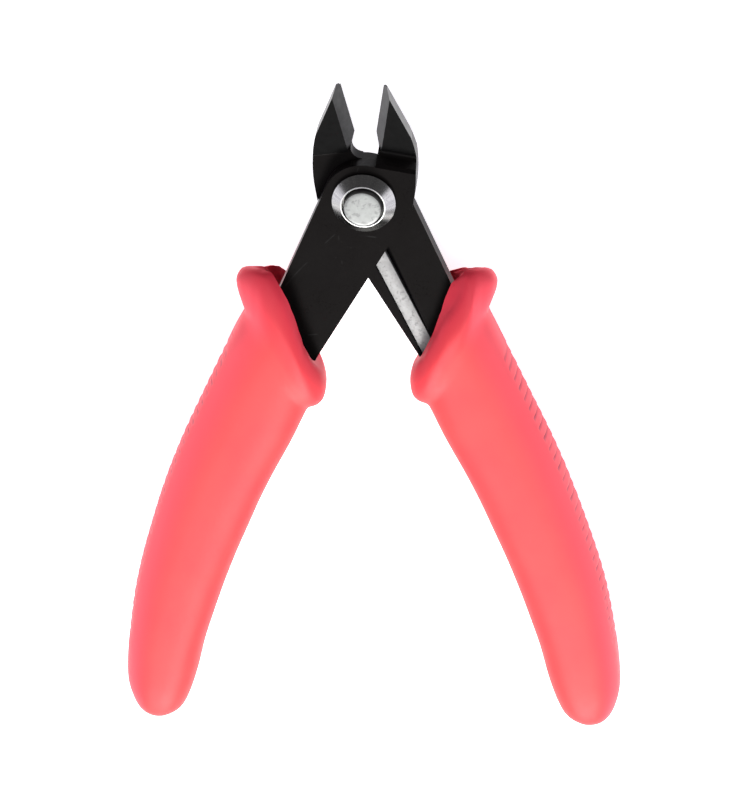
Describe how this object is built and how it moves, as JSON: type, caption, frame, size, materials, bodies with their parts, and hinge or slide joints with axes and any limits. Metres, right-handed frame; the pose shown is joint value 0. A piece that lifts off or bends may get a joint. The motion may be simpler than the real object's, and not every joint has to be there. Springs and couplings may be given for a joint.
{
  "type": "diagonal cutting pliers",
  "caption": "Small flush-cutting diagonal pliers: two lapped steel halves on one pivot, angled jaws, a leaf return spring and flared moulded grips.",
  "frame": {"origin": "on the pivot axis, at the flat back face of the pivot pin's head", "axes": "+Y towards the jaws and away from the handles, +X to the right, +Z along the pivot towards the bevelled side of the jaws"},
  "size_m": [0.0822, 0.1206, 0.0139],
  "materials": {
    "blackened_steel": "black oxide, satin, with ground bevels on the jaws",
    "turned_steel": "turned bright",
    "spring_steel": "bare rolled",
    "coral_grip": "matte moulded vinyl"
  },
  "bodies": {
    "rear_body": {"rear_half": "blackened_steel", "pivot_pin": "turned_steel", "pivot_collar": "turned_steel", "return_spring": "spring_steel", "right_grip": "coral_grip"},
    "front_body": {"front_half": "blackened_steel", "left_grip": "coral_grip"}
  },
  "joints": [
    {"name": "jaw_pivot", "type": "hinge", "parent": "rear_body", "child": "front_body", "pos_m": [0, 0, 0.0041], "axis": [0, 0, 1], "range_deg": [0, 18.5], "stiffness_Nm_per_rad": 1.5, "springref_deg": -8.59, "deforming": ["return_spring"]}
  ]
}
